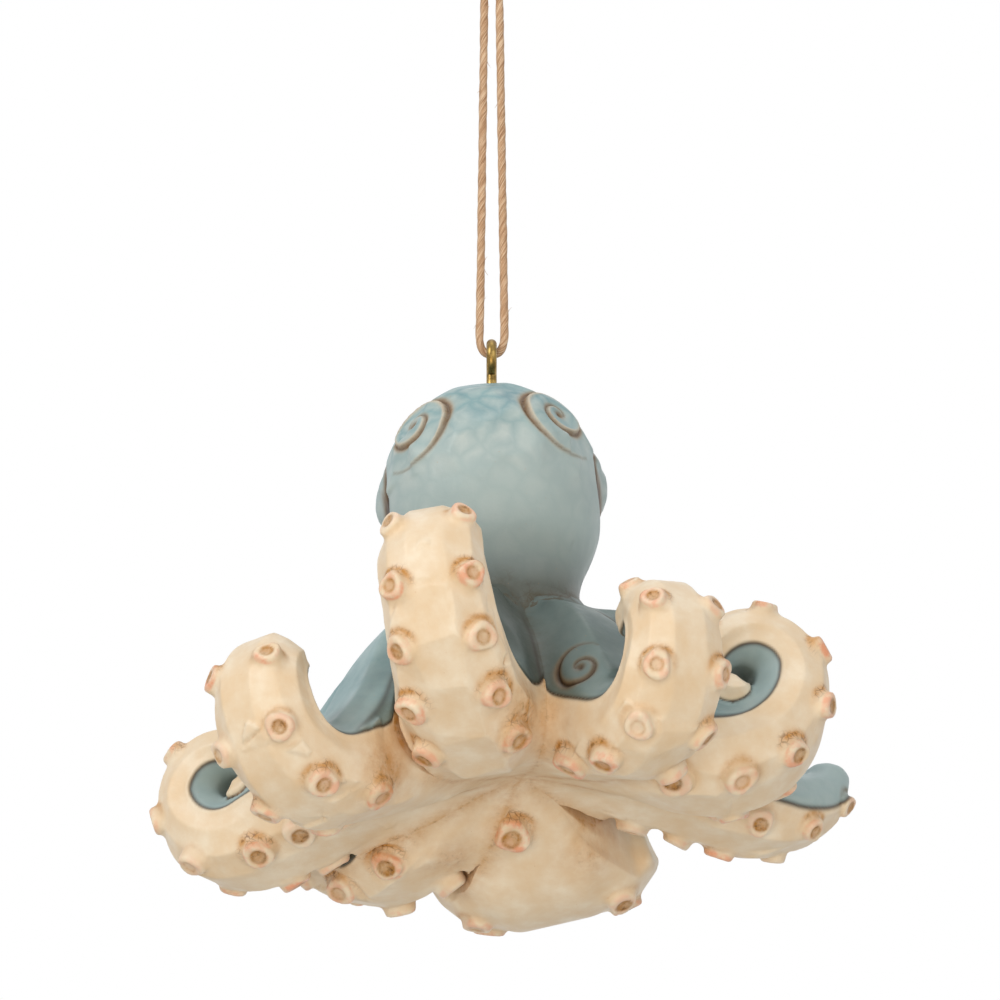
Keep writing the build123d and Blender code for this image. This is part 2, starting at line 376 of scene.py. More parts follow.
def suckers_on(arm, line):
    """Foot, facing, along-arm direction and size of each sucker."""
    places, sides, backs, length = line
    pairs = round((SUCKER_LAST - SUCKER_FIRST) * length / SUCKER_PITCH)
    cups = []
    for pair in range(pairs + 1):
        share = SUCKER_FIRST + (SUCKER_LAST - SUCKER_FIRST) * pair / pairs
        size = 1 + (SUCKER_TIP_SHARE - 1) * pair / pairs
        step = round(share * ARM_STEPS)
        half, _, belly = sizes_at(arm, share)
        inner = np.array([BEVEL_INNER[0] * half, BEVEL_INNER[1] * belly])
        outer = np.array([BEVEL_OUTER[0] * half, BEVEL_OUTER[1] * belly])
        for side in (1, -1):
            middle = (inner + (outer - inner) * SUCKER_OUT) * (side, 1)
            slope = outer - inner
            normal = np.array([slope[1] * side, -slope[0]]) / np.linalg.norm(slope)
            foot = places[step] + sides[step] * middle[0] + backs[step] * middle[1]
            facing = sides[step] * normal[0] + backs[step] * normal[1]
            cups.append((foot, facing, np.cross(backs[step], sides[step]), size, share))
    return cups


# %% [markdown]
# ## Paint
# One painted-resin shader serves all the castings. It reads what each piece stores on its
# points: where it is blue, where the brown wash has settled, where a rim is rubbed pale,
# where a sucker is flushed pink, and where painted shade and grime darken it.


# %% Painted resin
class Shader:
    """Short names for making and joining shader nodes."""

    def __init__(self, name):
        self.material = bpy.data.materials.new(name)
        self.material.use_nodes = True
        self.tree = self.material.node_tree
        self.surface = self.tree.nodes["Principled BSDF"]

    def node(self, kind, **settings):
        made = self.tree.nodes.new(kind)
        for key, value in settings.items():
            if key in made.inputs:
                made.inputs[key].default_value = value
            else:
                setattr(made, key, value)
        return made

    def join(self, source, target):
        self.tree.links.new(source, target)

    def stored(self, name):
        return self.node("ShaderNodeAttribute", attribute_name=name).outputs["Fac"]

    def noise(self, scale, detail=4, rough=0.55, place=None):
        made = self.node("ShaderNodeTexNoise", Scale=scale, Detail=detail, Roughness=rough)
        self.join(place or self.place(), made.inputs["Vector"])
        return made.outputs["Fac"]

    def place(self):
        return self.node("ShaderNodeTexCoord").outputs["Object"]

    def shaken(self, far, scale):
        """The place, moved about by noise so that straight edges wander."""
        wobble = self.node("ShaderNodeTexNoise", Scale=scale, Detail=3.0)
        self.join(self.place(), wobble.inputs["Vector"])
        moved = self.node("ShaderNodeVectorMath", operation="MULTIPLY_ADD")
        self.join(wobble.outputs["Color"], moved.inputs[0])
        moved.inputs[1].default_value = (far, far, far)
        self.join(self.place(), moved.inputs[2])
        return moved.outputs[0]

    def ramp(self, value, *stops):
        made = self.node("ShaderNodeValToRGB")
        elements = made.color_ramp.elements
        while len(elements) < len(stops):
            elements.new(0.5)
        for element, (where, colour) in zip(elements, stops):
            element.position = where
            element.color = colour
        self.join(value, made.inputs["Fac"])
        return made.outputs["Color"]

    def math(self, how, a, b, clamp=True):
        made = self.node("ShaderNodeMath", operation=how, use_clamp=clamp)
        for slot, value in zip(made.inputs, (a, b)):
            if isinstance(value, (int, float)):
                slot.default_value = value
            else:
                self.join(value, slot)
        return made.outputs[0]

    def times(self, *values):
        product = values[0]
        for value in values[1:]:
            product = self.math("MULTIPLY", product, value)
        return product

    def mix(self, amount, a, b):
        made = self.node("ShaderNodeMix", data_type="RGBA")
        for slot, value in ((made.inputs[0], amount), (made.inputs[6], a), (made.inputs[7], b)):
            if isinstance(value, (int, float, tuple)):
                slot.default_value = value
            else:
                self.join(value, slot)
        return made.outputs[2]


WHITE, BLACK = (1, 1, 1, 1), (0, 0, 0, 1)
CREAM, CREAM_SHADE, CREAM_PALE = srgb(239, 220, 192), srgb(235, 211, 177), srgb(247, 235, 214)
BLUE, BLUE_DEEP, BLUE_PALE = srgb(148, 181, 185), srgb(110, 150, 160), srgb(188, 203, 201)
PINK, BROWN, DARK = srgb(240, 172, 138), srgb(196, 136, 52), srgb(46, 30, 13)
FLECK, CRACKLE = srgb(90, 62, 26), srgb(104, 62, 24)
BLUE_RUBBED = srgb(212, 221, 220)
# the second colour on this line is painted shade and grime together, laid dark on the blue
UMBER, SHADE_AND_GRIME, BLUE_LOW = srgb(100, 82, 44), srgb(58, 56, 40), srgb(178, 195, 197)


def painted_resin():
    s = Shader("painted_resin")
    cream = s.ramp(s.noise(260, 5), (0.32, CREAM_SHADE), (0.5, CREAM), (0.72, CREAM_PALE))
    dab = s.node("ShaderNodeTexVoronoi", feature="DISTANCE_TO_EDGE", Scale=280.0)
    s.join(s.shaken(0.0016, 420.0), dab.inputs["Vector"])
    dabs = s.ramp(dab.outputs["Distance"], (0.0, BLACK), (0.26, WHITE))
    patchy = s.ramp(s.noise(150, 3), (0.3, (0.35, 0.35, 0.35, 1)), (0.62, WHITE))
    blue = s.mix(s.ramp(s.noise(190, 5, 0.6), (0.3, BLACK), (0.7, WHITE)), BLUE_DEEP, BLUE)
    brushed = s.times(dabs, patchy, s.stored("dabs"))
    streak = s.ramp(s.noise(900, 4, 0.7), (0.2, (0.55, 0.55, 0.55, 1)), (0.7, WHITE))
    blue = s.mix(s.times(s.stored("low"), 0.8), blue, BLUE_LOW)
    blue = s.mix(s.times(brushed, streak, 0.85), blue,
                 s.mix(s.stored("low"), BLUE_PALE, BLUE_RUBBED))
    colour = s.mix(s.stored("blue"), cream, blue)
    rubbed = s.mix(s.stored("blue"), CREAM_PALE, BLUE_PALE)
    colour = s.mix(s.times(s.stored("rub"), 0.6), colour, rubbed)
    flushed = s.ramp(s.noise(520, 4), (0.4, BLACK), (0.62, WHITE))
    colour = s.mix(s.times(s.stored("pink"), flushed), colour, PINK)
    blotch = s.ramp(s.noise(620, 6, 0.65), (0.3, BLACK), (0.62, WHITE))
    wash = s.times(s.stored("wash"), s.math("ADD", s.times(blotch, 0.75), 0.3))
    colour = s.mix(wash, colour, s.mix(s.stored("blue"), BROWN, UMBER))
    fleck = s.ramp(s.noise(1500, 4, 0.6), (0.56, BLACK), (0.62, WHITE))
    colour = s.mix(s.times(fleck, wash, wash, 0.7), colour, FLECK)
    crack = s.node("ShaderNodeTexVoronoi", feature="DISTANCE_TO_EDGE", Scale=1150.0)
    s.join(s.shaken(0.0007, 900.0), crack.inputs["Vector"])
    lines = s.ramp(crack.outputs["Distance"], (0.03, WHITE), (0.1, BLACK))
    broken = s.ramp(s.noise(520, 4), (0.45, BLACK), (0.58, WHITE))
    colour = s.mix(s.times(lines, broken, s.stored("crackle"), 0.75), colour, CRACKLE)
    # painted shade and grime: the blue turns dark olive and the cream turns brown where this is stored
    colour = s.mix(s.stored("shade_and_grime"), colour, s.mix(s.stored("blue"), BROWN, SHADE_AND_GRIME))
    colour = s.mix(s.stored("dark"), colour, DARK)
    speck = s.ramp(s.noise(2600, 2), (0.74, BLACK), (0.78, WHITE))
    colour = s.mix(s.times(speck, 0.35), colour, BROWN)
    s.join(colour, s.surface.inputs["Base Color"])
    rough = s.ramp(s.noise(500, 4), (0.3, (0.36, 0.36, 0.36, 1)), (0.7, (0.5, 0.5, 0.5, 1)))
    s.join(rough, s.surface.inputs["Roughness"])
    bump = s.node("ShaderNodeBump", Strength=0.22, Distance=0.00025)
    grain = s.math("ADD", s.times(s.noise(1500, 5), 0.6), s.times(s.noise(380, 3), 0.6))
    s.join(grain, bump.inputs["Height"])
    s.join(bump.outputs["Normal"], s.surface.inputs["Normal"])
    s.surface.inputs["Specular IOR Level"].default_value = 0.36
    return s.material


resin = painted_resin()
print("painted resin", len(resin.node_tree.nodes), "nodes")

# %% [markdown]
# ## Eight arms
# The skin of each arm is cut into facets, its suckers are rounded into cups, and paint is laid
# by place: blue on the back down to a dark line, wash in every crease, pink on the cups.

# %% Carve and paint the arms
ARM_VOXEL = 0.26
HEAD_VOXEL = 0.24
FILL_VOXEL = 0.6
WIDE_ARM, WIDE_VOXEL = "back_arm", 1.25    # the broad arm is smoother, and its faces are larger
ARM_FACET, HEAD_FACET = 5.2, 4.6    # from one flat cut to the next
FACET_DEPTH = 0.2
CUP_CLEAR = 1.6        # suckers nearer to a seam than this, by their size, are left off
CREAM_TIP = 1.8        # a curled-on tip is cream from here
SEAM_LAP = 0.5         # how far neighbours pass under one another at a filled joint
EDGE_UP = 3.3          # the blue edge above the arm's line, near the root
EDGE_SHARE = 0.55      # and as a share of the back, near the tip
EDGE_LOWER = {"back_right_arm": 4.2, "back_left_arm": 5.0}    # arms painted further down
SHOULDER_SHADE = {"front_right_arm": 0.68, "right_arm": 0.6, "front_arm": 0.85}    # painted shade on these shoulders, which lie in shade between the arms and under the head

trees = {}
for name in list(ARMS) + ["head"]:
    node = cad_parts[name]
    trees[name] = BVHTree.FromPolygons(
        [node.matrix_world @ v.co for v in node.data.vertices],
        [tuple(p.vertices) for p in node.data.polygons])


def sucker_master():
    """One sucker: a flared foot, a rounded rim and a dimple."""
    bpy.ops.object.select_all(action="DESELECT")
    bpy.ops.mesh.primitive_cone_add(vertices=28, radius1=2.6 * MM, radius2=2.2 * MM, depth=2.1 * MM,
                                    location=(0, 0, 0.1 * MM))
    cup = bpy.context.object
    bpy.ops.object.transform_apply(location=True)
    bpy.ops.object.mode_set(mode="EDIT")
    bpy.ops.mesh.select_all(action="DESELECT")
    bpy.ops.object.mode_set(mode="OBJECT")
    for face in cup.data.polygons:
        face.select = face.normal.z > 0.9
    bpy.ops.object.mode_set(mode="EDIT")
    for inward, lift in ((0.32, 0.24), (0.55, 0.02), (0.3, -0.24), (0.5, -0.06)):
        bpy.ops.mesh.inset(thickness=inward * MM)
        bpy.ops.transform.translate(value=(0, 0, lift * MM))
    bpy.ops.object.mode_set(mode="OBJECT")
    return cup


cup_master = sucker_master()
# a sucker off the rows, as photographed: its arm, and foot, facing, along-arm direction, size and share
LONE_SUCKER = ("back_arm", (np.array([2.5, 8.7, -119.5]), np.array([0.03, -0.45, -0.89]),
                            np.array([0.0, 0.9, -0.2]), 1.05, 0.5))
TUBE_RINGS = 160
TIP_RINGS = 14
FACE_POINTS = 5         # points across each long face of the section
CORNERS = np.array(OUTLINE + tuple((-x, y) for x, y in OUTLINE[::-1]))
TUBE_SIDES = FACE_POINTS * len(CORNERS)
CUT_LENGTH = 6.5        # of one stroke of the knife along an arm
CUT_DEPTH = 0.08       # of those strokes, as a share of the section


def knife_marks(length):
    """How far each long ridge wanders in and out, and along the section, ring by ring."""
    rings = np.linspace(0, length, TUBE_RINGS)
    marks = []
    for corner in CORNERS:
        knots = np.arange(-CUT_LENGTH * dice.uniform(), length + 2 * CUT_LENGTH, CUT_LENGTH)
        knots = knots + dice.uniform(-0.3, 0.3, len(knots)) * CUT_LENGTH
        strength = 0.25 if corner[1] > 0.5 else 1.0
        marks.append([strength * np.interp(rings, knots, dice.uniform(-1, 1, len(knots)))
                      for _ in range(2)])
    return np.array(marks)


def tube_faces(count, sides):
    """Faces of a closed tube of rings, with a cap at each end."""
    faces = [(i * sides + j, i * sides + (j + 1) % sides,
              (i + 1) * sides + (j + 1) % sides, (i + 1) * sides + j)
             for i in range(count - 1) for j in range(sides)]
    return faces + [tuple(range(sides))[::-1], tuple((count - 1) * sides + j for j in range(sides))]


def arm_tube(name, line):
    """A closed tube of sections along an arm's line, with a rounded tip."""
    places, sides, backs, length = line
    last = TIP_CUT.get(name, 1.0)
    shares = np.concatenate([np.linspace(0, last, TUBE_RINGS), np.full(TIP_RINGS, last)])
    reach, tight = TIP_CURLS.get(name, (TIP_ROUND * 1.6, 60.0))
    tip = np.concatenate([np.zeros(TUBE_RINGS), np.linspace(0, 1, TIP_RINGS + 1)[1:]])
    marks = knife_marks(length)
    rings = []
    for share, end in zip(shares, tip):
        ring = min(len(rings), TUBE_RINGS - 1)
        step = share * ARM_STEPS
        low = min(int(step), ARM_STEPS - 1)
        part = step - low
        place, side, up = ((1 - part) * v[low] + part * v[low + 1] for v in (places, sides, backs))
        forward = np.cross(side, up)
        turn = end * reach / tight
        place = place + tight * (math.sin(turn) * forward + (1 - math.cos(turn)) * up)
        up = math.cos(turn) * up - math.sin(turn) * forward
        half, back, belly = smooth_sizes(ARMS[name], share)
        past = max(0.0, (end * reach - (reach - TIP_ROUND * 1.6)) / (TIP_ROUND * 1.6))
        grow = (1 + 0.2 * end * (reach > 3)) * (math.sqrt(1 - past * past) if past < 1 else 0.05)
        ridge = CORNERS * (1 + CUT_DEPTH * marks[:, 0, ring])[:, None]
        turned = np.stack([-CORNERS[:, 1], CORNERS[:, 0]], 1)
        ridge = ridge + CUT_DEPTH * marks[:, 1, ring][:, None] * turned
        shape = np.vstack([ridge + (np.roll(ridge, -1, 0) - ridge) * f / FACE_POINTS
                           for f in range(FACE_POINTS)])
        shape = shape.reshape(FACE_POINTS, -1, 2).transpose(1, 0, 2).reshape(-1, 2)
        y = np.where(shape[:, 1] > 0, shape[:, 1] * back, shape[:, 1] * belly)
        rings.append(place + grow * (np.outer(shape[:, 0] * half, side) + np.outer(y, up)))
    rings = np.array(rings)
    count = len(rings)
    faces = tube_faces(count, TUBE_SIDES)
    mesh = bpy.data.meshes.new(name + "_casting")
    mesh.from_pydata([tuple(v) for v in rings.reshape(-1, 3) * MM], [], faces)
    tube = bpy.data.objects.new(name + "_casting", mesh)
    bpy.context.collection.objects.link(tube)
    only(tube)
    bpy.ops.object.mode_set(mode="EDIT")
    bpy.ops.mesh.select_all(action="SELECT")
    bpy.ops.mesh.normals_make_consistent(inside=False)
    bpy.ops.object.mode_set(mode="OBJECT")
    return tube, rings.reshape(-1, 3), np.repeat(shares, TUBE_SIDES), np.repeat(tip * reach, TUBE_SIDES)


def smooth_sizes(arm, share):
    """The section sizes, eased across the corners of their table."""
    around = np.clip(share + np.linspace(-0.05, 0.05, 11), 0, 1)
    return tuple(float(np.mean(v)) for v in sizes_at(arm, around))


def sector_walls(name):
    """Inward normals of the two planes that an arm shares with its neighbours."""
    order = list(ARMS)
    index = order.index(name)
    mine = ARMS[name][0]
    walls = []
    for other, sign in ((order[index - 1], 1), (order[(index + 1) % len(order)], -1)):
        step = (ARMS[other][0] - mine + 180) % 360 - 180
        middle = math.radians(mine + step / 2)
        walls.append(directions(middle)[1] * sign)
    return walls


def to_wall(name, points):
    """How far points lie inside the nearer of an arm's two shared planes."""
    return np.min([(points - HEAD_CENTRE) @ wall for wall in sector_walls(name)], 0)


def shape_arm(name):
    """The bare casting of one arm: tube and suckers fused, softened and held in its sector."""
    arm = ARMS[name]
    line = arm_line(arm)
    places, _, backs, length = line
    skin, tube_points, tube_shares, tube_tip = arm_tube(name, line)
    cups = [cup for cup in suckers_on(arm, line) if cup[4] < TIP_CUT.get(name, 1.0) - 0.02 and (
        from_axis(cup[0][None])[0] > WEB_R
        or to_wall(name, cup[0]) > CUP_CLEAR * cup[3])]
    if name == LONE_SUCKER[0]:
        cups.append(LONE_SUCKER[1])
    bpy.ops.object.select_all(action="DESELECT")
    for foot, facing, along, size, _ in cups:
        mesh = cup_master.data.copy()
        spots = np.array([vertex.co[:] for vertex in mesh.vertices])
        around = np.arctan2(spots[:, 1], spots[:, 0])
        waves = sum(0.08 * np.sin(k * around + dice.uniform(0, 2 * math.pi)) for k in (2, 3))
        spots[:, :2] *= (1 + waves)[:, None]
        mesh.vertices.foreach_set("co", spots.ravel())
        tilt = facing + dice.uniform(-0.13, 0.13, 3)
        tilt /= np.linalg.norm(tilt)
        across = np.cross(tilt, along)
        across /= np.linalg.norm(across)
        turn = np.eye(4)
        axes = np.stack([np.cross(across, tilt), across, tilt], 1)
        turn[:3, :3] = axes * size * dice.uniform(0.92, 1.08, 3)
        turn[:3, 3] = foot * MM
        mesh.transform(Matrix(turn.tolist()))
        cup = bpy.data.objects.new("cup", mesh)
        bpy.context.collection.objects.link(cup)
        cup.select_set(True)
    skin.select_set(True)
    bpy.context.view_layer.objects.active = skin
    bpy.ops.object.join()
    even_skin(skin, ARM_VOXEL * (WIDE_VOXEL if name == WIDE_ARM else 1.0))
    edges = edges_of(skin)
    points = relaxed(points_of(skin), edges, 1)

    radial = np.full(len(points), 99.0)
    height = np.full(len(points), -9.0)
    tone = np.zeros((len(points), 3))
    for foot, facing, along, size, _ in cups:
        offset = points - foot
        up = offset @ facing
        out = np.linalg.norm(offset - up[:, None] * facing, axis=1)
        mine = (up > -1.2) & (up < 2.2 * size) & (out < 4.5 * size) & (out / size < radial)
        radial[mine] = out[mine] / size
        height[mine] = up[mine] / size
        leaning = (offset[mine] @ HUB_Z) / np.maximum(out[mine], 0.3)
        tone[mine] = np.stack([np.full(len(leaning), v) for v in dice.uniform(0, 1, 2)] + [leaning], 1)
    on_cup = 1 - ease(2.6, 3.4, radial)
    tree = tree_of(tube_points)
    nearest = [tree.find(p)[1] for p in points]
    share = tube_shares[nearest]
    step = np.round(share * ARM_STEPS).astype(int)
    upward = np.einsum("ij,ij->i", points - places[step], backs[step])
    _, back, _ = sizes_at(arm, share)
    edge = np.minimum(EDGE_UP, EDGE_SHARE * back) - EDGE_LOWER.get(name, 0) * ease(0.25, 0.45, share)
    curled_on = (tube_tip[nearest] > CREAM_TIP) & (name in TIP_CURLS)
    above = relaxed(np.where(curled_on, -1.0, upward - edge), edges, 7)
    above = above + (relaxed(above, edges, 25) - above) * (share > 0.985)
    soft = np.maximum(0.06, ease(0.2, 1.2, above)) * (1 - on_cup)
    points = points + (relaxed(points, edges, 10) - points) * soft[:, None]
    set_points(skin, points)
    uncut = np.maximum(1 - ease(2.4, 3.6, radial), ease(-1.2, -0.2, above))
    points = whittle(points, normals_of(skin), ARM_FACET, FACET_DEPTH, uncut)
    even = (1 - on_cup) * (1.0 if name == WIDE_ARM else 0.55)
    points = points + (relaxed(points, edges, 24 if name == WIDE_ARM else 2) - points) * even[:, None]
    points = in_sector(name, points)
    set_points(skin, points)
    print(name, len(skin.data.polygons), "faces,", len(cups), "suckers,", round(length, 1), "mm long")
    return dict(skin=skin, edges=edges, radial=radial, height=height, on_cup=on_cup, above=above,
                share=share, tone=tone)


def from_axis(points):
    """Distance from the hub's axis."""
    return np.linalg.norm(np.cross(points - HEAD_CENTRE, HUB_Z), axis=1)


def in_sector(name, points):
    """Points beyond an arm's shared planes are laid on them."""
    in_web = 1 - ease(WEB_R - 2, WEB_R + 1, from_axis(points))
    for wall in sector_walls(name):
        beyond = np.minimum((points - HEAD_CENTRE) @ wall + SEAM_LAP, 0) * in_web
        points = points - beyond[:, None] * wall
    return points


arms = {arm_name: shape_arm(arm_name) for arm_name in ARMS}
bpy.data.objects.remove(cup_master)
head_skin = even_skin(copied_solid("head", "head_casting"), HEAD_VOXEL)

# %% [markdown]
# Where castings meet, the maker filled and smoothed the joint before painting. One smoothed
# skin over everything gives the filled shape, and each casting is drawn onto it near its joints.


# %% Fill the joints
def filled_shape():
    bpy.ops.object.select_all(action="DESELECT")
    for skin in [arm["skin"] for arm in arms.values()] + [head_skin]:
        twin = skin.copy()
        twin.data = skin.data.copy()
        bpy.context.collection.objects.link(twin)
        twin.select_set(True)
        bpy.context.view_layer.objects.active = twin
    bpy.ops.object.join()
    whole = even_skin(bpy.context.object, FILL_VOXEL)
    points = relaxed(points_of(whole), edges_of(whole), 70, 0.6)
    faces = [tuple(face.vertices) for face in whole.data.polygons]
    bpy.data.objects.remove(whole)
    tree = BVHTree.FromPolygons([Vector(point) for point in points], faces)
    corners = points[np.array([face[:4] for face in faces])]
    middles = corners.mean(1)
    facing = np.cross(corners[:, 2] - corners[:, 0], corners[:, 3] - corners[:, 1])
    facing /= np.maximum(np.linalg.norm(facing, axis=1), 1e-9)[:, None]
    return tree, deep_places(tree, middles, facing)


def deep_places(tree, middles, facing, rays=14, reach=26.0):
    """How shut in each face is: 0 in the open, 1 at the bottom of a crack."""
    spread = dice.normal(size=(rays, 3))
    spread /= np.linalg.norm(spread, axis=1)[:, None]
    shut = np.zeros(len(middles))
    for number, (middle, normal) in enumerate(zip(middles, facing)):
        start = Vector(middle + normal * 0.15)
        for aim in spread + normal * 1.02:
            shut[number] += tree.ray_cast(start, Vector(aim), reach)[0] is not None
    return shut / rays


def deep_at(points, normals):
    """The same for any points, from the face of the filled shape that lies nearest."""
    tree, shut = filled
    found = [tree.find_nearest(Vector(point), 4.0)[2] for point in points + normals * 0.3]
    return np.array([0.5 if face is None else shut[face] for face in found])


def fill(points, weight, filled):
    """Draw points onto the filled shape, each by its weight."""
    points = points.copy()
    for number in np.where(weight > 0.02)[0]:
        found = filled[0].find_nearest(Vector(points[number]), 3.0)
        if found[0] is not None:
            points[number] += weight[number] * (np.array(found[0]) - points[number])
    return points


def gap_to(points, others, reach):
    """Distance from points to the nearest of other solids, up to reach."""
    near = np.full(len(points), reach)
    for other in others:
        tree = trees[other]
        for number, point in enumerate(points):
            found = tree.find_nearest(Vector(point * MM), reach * MM)
            if found[3] is not None:
                near[number] = min(near[number], found[3] / MM)
    return near


filled = filled_shape()
print("filled shape", len(filled[1]), "faces")

# %% [markdown]
# The carver's one pattern is a plain spiral: a groove that widens outwards, with a raised lip
# inside it and a slightly raised disc. It lies on both sides of the brow and on one shoulder.


# %% A plain spiral
def scroll(points, normals, centre, facing, hand, pitch, turns):
    """Groove, stain, lip and raised disc of a spiral cut on a surface."""
    sideways = np.cross(HUB_Z, facing)
    sideways /= np.linalg.norm(sideways)
    offset = points - centre
    x, y = offset @ sideways * hand, offset @ np.cross(facing, sideways)
    front = (np.abs(offset @ facing) < 6) & (normals @ facing > 0.2)
    radius = np.hypot(x, y)
    angle = np.arctan2(-x, -y) / (2 * math.pi)
    track = (np.round(radius / pitch - angle) + angle) * pitch
    cut = front & (track > 0.2 * pitch) & (track < turns * pitch)
    away = np.where(cut, radius - track, 9.0)
    gone = track / (turns * pitch)
    outer = np.clip(0.3 + gone, 0.3, 1) * (1 - 0.85 * ease(0.78, 1.0, gone))
    wide = 0.12 + 0.2 * outer ** 2
    groove = np.maximum(outer * bell(away, wide), np.where(front, 0.8 * bell(radius, 0.5), 0))
    stain = np.maximum(outer * bell(away, 1.7 * wide), np.where(front, 0.8 * bell(radius, 0.6), 0))
    lip = np.where(cut, outer * bell(away + 1.8 * wide, 0.8 * wide), 0)
    rim = np.minimum((turns - 1 + angle % 1) * pitch, turns * pitch)
    plate = np.where(front, 1 - ease(-0.3, 0.2, radius - rim), 0)
    return np.array([groove, stain, lip, plate])


# %% [markdown]
# The painter lays the blue down to a dark line, then brushes on a thin brown wash and wipes it
# off again. It stays in creases, round the suckers' feet and in their dimples, so those are
# what each arm stores for the shader, with painted shade in shut-in places, creases and shoulders.

# %% Fill and paint each arm
# where the wash has gathered: place, width, strength
POOLS = [((4.2, -22.0, -117.5), 4.2, 0.9), ((-12.5, -17.4, -122.5), 4.0, 0.75),
         ((-5.0, 11.6, -122.0), 3.6, 0.5), ((12.8, 13.1, -120.6), 4.0, 0.45)]
CRACK_PLACE, CRACK_REACH = POOLS[0][0], 3.2    # an open joint inside the first of them
LESS_SHADED = {"front_left_arm": 0.5}    # arms lit more by the key lamp, given less painted shade in their recesses
GAP_REACH = 5.0        # how far off a neighbouring solid is felt
# arm, centre, facing, hand, pitch, turns
SHOULDER_SCROLL = ("front_right_arm", np.array([11.0, -19.4, -109.6]), np.array([-0.32, -0.87, 0.36]),
                   1, 2.5, 1.6)


def finish_arm(name):
    """Fill one arm's joints and lay on its paint, painted shade included."""
    arm = arms[name]
    skin, edges, share = arm["skin"], arm["edges"], arm["share"]
    radial, height, above = arm["radial"], arm["height"], arm["above"]
    points = points_of(skin)
    order = list(ARMS)
    index = order.index(name)
    beside = gap_to(points, [order[index - 1], order[(index + 1) % len(order)]], GAP_REACH)
    to_head = gap_to(points, ["head"], GAP_REACH)
    within = to_wall(name, points) > -SEAM_LAP - 0.1
    near_web = 1 - ease(WEB_R, WEB_R + 5, from_axis(points))
    joint = np.maximum((1 - ease(1.6, GAP_REACH, beside)) * within, 1 - ease(0.6, 3.0, to_head))
    points = in_sector(name, fill(points, joint * near_web * (1 - arm["on_cup"]), filled))
    seam = near_web * (1 - ease(0.5, 2.0, to_wall(name, points)))
    points = points + (relaxed(points, edges, 5) - points) * seam[:, None]
    set_points(skin, points)
    normals = normals_of(skin)

    # painted shade on the shoulders, fading out away from the axis
    shoulder_shade = SHOULDER_SHADE.get(name, 0.0) * (1 - ease(16, 34, from_axis(points)))
    groove = stain = np.zeros(len(points))
    if name == SHOULDER_SCROLL[0]:
        groove, stain = scroll(points, normals, *SHOULDER_SCROLL[1:])[:2] * (above > 0.5)
    wall = to_wall(name, points)
    crack = bell(wall - 0.1, 0.16) * bell(from_place(points, CRACK_PLACE), CRACK_REACH)
    seam_line = bell(wall - 0.15, 0.25) * near_web * (above > 0.3) * ease(9, 13, from_axis(points))
    line_mark = bell(above, 0.26) * ease(0.14, 0.24, share)
    points = points - normals * (0.2 * line_mark + 0.4 * groove)[:, None]
    set_points(skin, points)
    touch = 1 - np.minimum(beside, to_head) / GAP_REACH
    cavity = relaxed(hollows(points, normals, edges, 8), edges, 2)
    deep = relaxed(deep_at(points, normals), edges, 12)
    crease = np.maximum(0, 1 - beside / 4.0) * near_web
    wash = (0.9 * ease(0.03, 0.14, cavity) + 0.65 * crease ** 1.5 * (0.4 + 0.6 * ease(0.1, 0.5, deep))
            + 0.3 * touch ** 4)
    for place, wide, strength in POOLS:
        wash = np.maximum(wash, strength * bell(from_place(points, place), wide))
    brownness, flush, lean = arm["tone"].T
    cup_rim = (1 - ease(2.25, 2.9, radial)) * ease(0.2, 0.7, height)
    dimple = (1 - ease(0.75, 1.3, radial)) * ease(0.0, 0.3, height)
    cup_line = bell(radial - 1.05, 0.25) * ease(0.0, 0.3, height)
    soiled = np.clip(1.8 * flush, 0.25, 1)
    foot_ring = bell(radial - 2.8, 0.6) * ease(-1.0 + 0.6 * brownness, 0.8, lean) * soiled
    cup_wash = (0.15 + brownness) * dimple + (0.4 + 0.5 * brownness) * cup_line
    cup_dark = 0.15 * brownness * dimple + 0.3 * brownness * cup_line
    # painted shade where the filled shape is shut in: strong on the blue and less towards the tip,
    # lighter on the cream on the next line
    recess_shade = 0.95 * ease(0.12, 0.75, deep) * (1 - 0.6 * ease(0.4, 0.6, share)) * LESS_SHADED.get(name, 1.0)
    cream_recess_shade = 0.22 * ease(0.5, 0.95, deep)
    pale_rim = cup_rim * (1 - ease(1.9, 2.3, radial)) * (1 - flush)
    paint(skin, "blue", ease(-0.12, 0.12, above) * (1 - 0.4 * stain))
    paint(skin, "low", 0.3 + 0.5 * ease(0.35, 0.6, share))
    # painted shade and grime: on the blue from recesses, creases between arms and the shaded shoulders;
    # on the cream from recesses
    paint(skin, "shade_and_grime", np.where(above > 0, most(recess_shade, 0.8 * crease, shoulder_shade), cream_recess_shade))
    paint(skin, "dabs", np.full(len(points), 0.2))
    paint(skin, "wash", most(wash, 0.8 * stain, cup_wash, foot_ring))
    paint(skin, "dark", most(0.85 * line_mark, groove ** 0.7, 0.5 * stain, 0.6 * seam_line, 0.6 * crack,
                             cup_dark))
    paint(skin, "crackle", 0.9 * foot_ring * ease(0.4, 0.6, flush))
    paint(skin, "pink", (0.25 + 0.75 * flush) * cup_rim * (1 - 0.6 * dimple))
    paint(skin, "rub", most(ease(0.02, 0.09, -cavity), pale_rim))
    skin.data.materials.append(resin)
    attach(skin, "figurine")
    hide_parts(name)


for arm_name in ARMS:
    finish_arm(arm_name)
print("painted", len(ARMS), "arms")

# %% [markdown]
# ## Head
# The head is carved the same way, with softer facets. A plain spiral groove with a raised lip
# is cut on each side of the brow, and each eye dome gets a lid line with a painted shadow under it.

